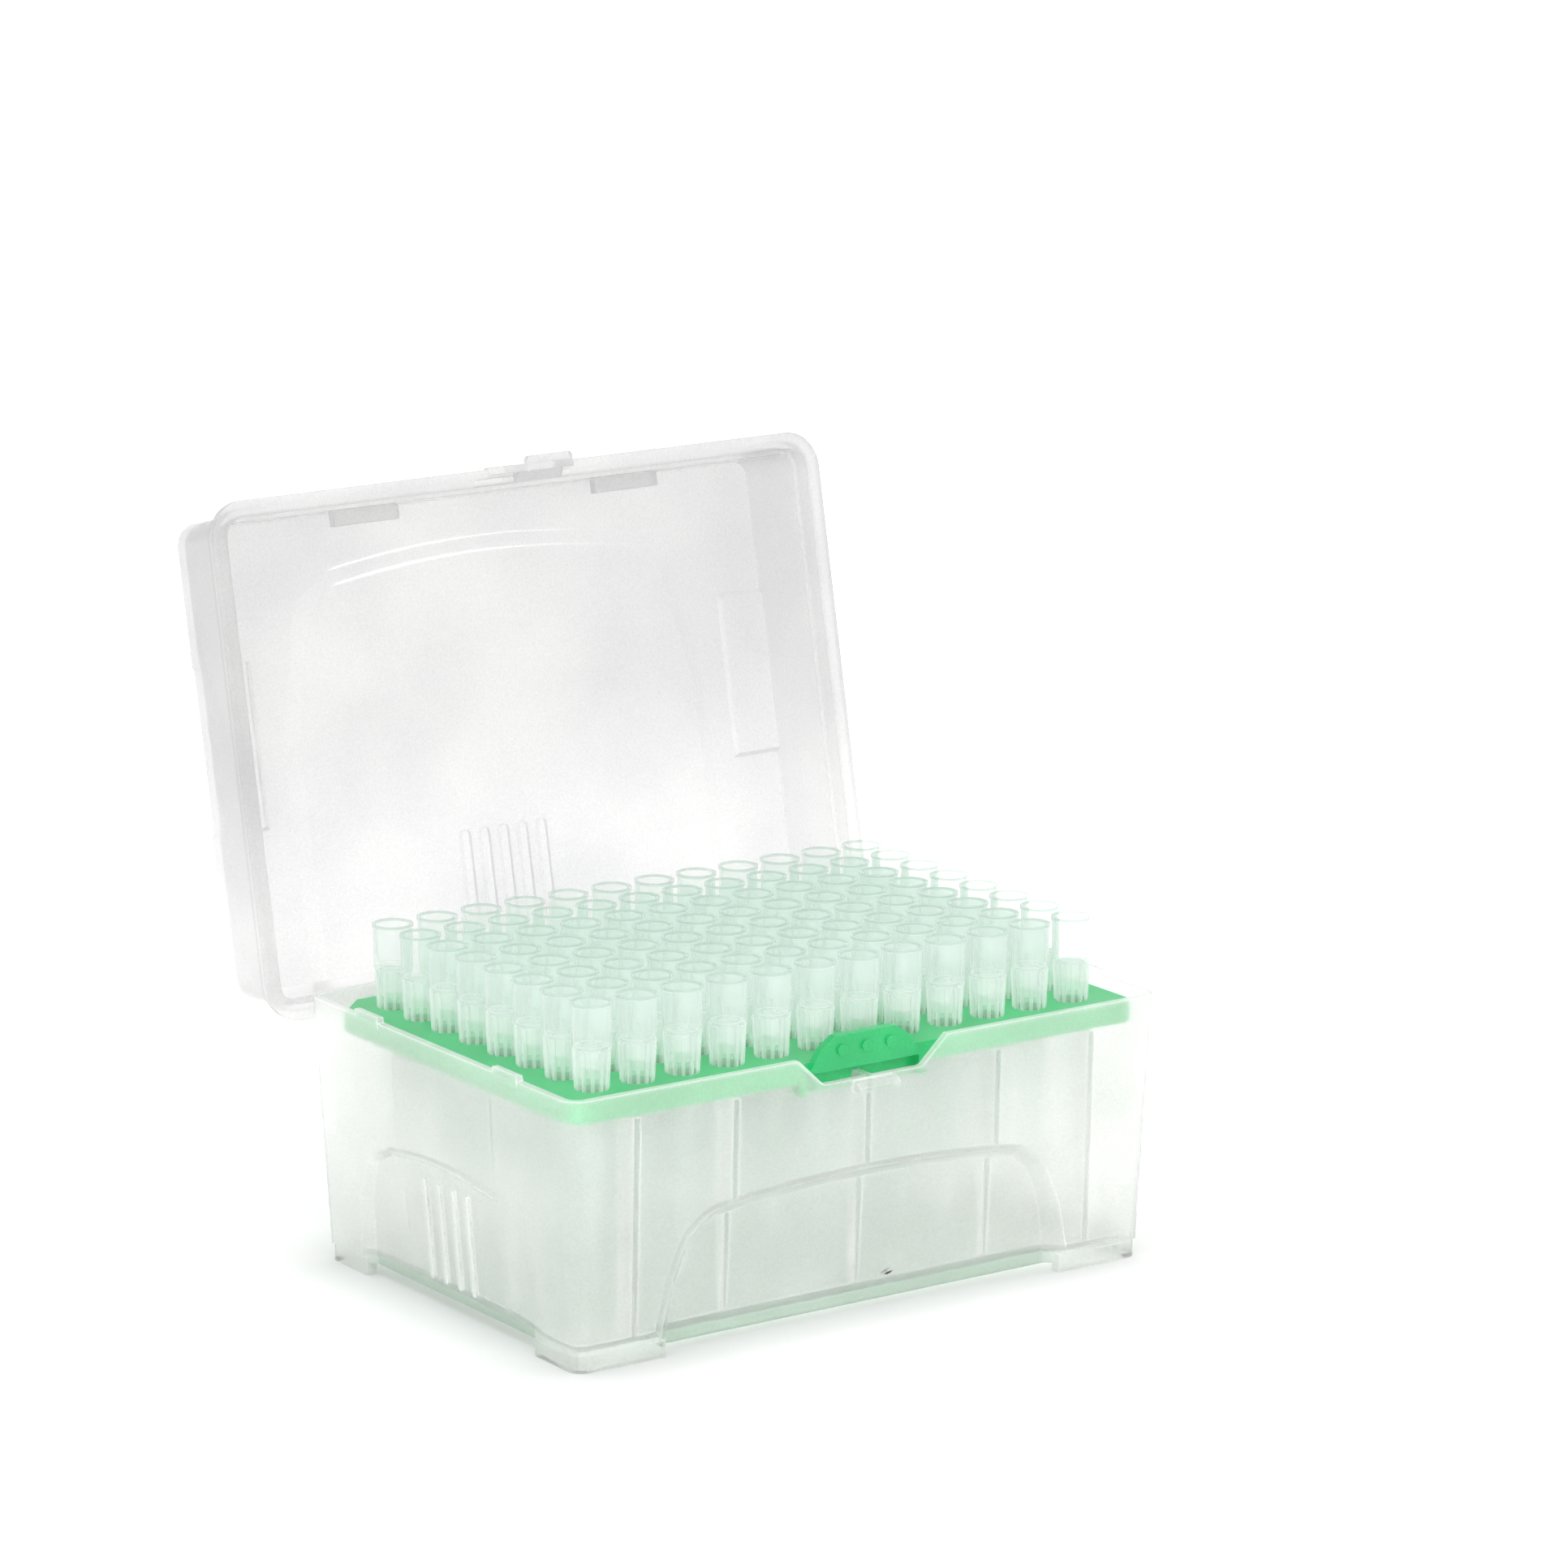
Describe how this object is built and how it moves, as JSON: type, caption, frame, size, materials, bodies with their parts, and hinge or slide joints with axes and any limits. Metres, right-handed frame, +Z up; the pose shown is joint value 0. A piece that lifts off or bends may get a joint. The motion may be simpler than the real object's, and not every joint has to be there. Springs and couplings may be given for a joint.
{
  "type": "pipette tip box",
  "caption": "Open box of filter pipette tips: frosted box with arched recesses and corner feet, hinged lid with latch, green rack holding a grid of clear ribbed tips.",
  "frame": {"origin": "centre of the base's footprint, on the plane that its four feet stand on", "axes": "+X along the long side (columns 1 to 12), +Y from the front wall with the catch to the rear wall with the hinge, +Z up"},
  "size_m": [0.128, 0.1293, 0.1341],
  "materials": {
    "base_polypropylene": "frosted natural polypropylene",
    "lid_polypropylene": "frosted natural polypropylene",
    "rack_polypropylene": "translucent green polypropylene",
    "tip_polypropylene": "clear moulded polypropylene",
    "filter_polyethylene": "white sintered polyethylene"
  },
  "bodies": {
    "box": {"box_base": "base_polypropylene", "tip_rack": "rack_polypropylene", "tips_column_01": "tip_polypropylene", "tips_column_02": "tip_polypropylene", "tips_column_03": "tip_polypropylene", "tips_column_04": "tip_polypropylene", "tips_column_05": "tip_polypropylene", "tips_column_06": "tip_polypropylene", "tips_column_07": "tip_polypropylene", "tips_column_08": "tip_polypropylene", "tips_column_09": "tip_polypropylene", "tips_column_10": "tip_polypropylene", "tips_column_11": "tip_polypropylene", "tips_column_12": "tip_polypropylene", "filters_column_01": "filter_polyethylene", "filters_column_02": "filter_polyethylene", "filters_column_03": "filter_polyethylene", "filters_column_04": "filter_polyethylene", "filters_column_05": "filter_polyethylene", "filters_column_06": "filter_polyethylene", "filters_column_07": "filter_polyethylene", "filters_column_08": "filter_polyethylene", "filters_column_09": "filter_polyethylene", "filters_column_10": "filter_polyethylene", "filters_column_11": "filter_polyethylene", "filters_column_12": "filter_polyethylene"},
    "lid": {"lid": "lid_polypropylene"}
  },
  "joints": [
    {"name": "lid_hinge", "type": "hinge", "parent": "box", "child": "lid", "pos_m": [0, 0.0455, 0.0417], "axis": [1, 0, 0], "range_deg": [0, 101.4]}
  ]
}
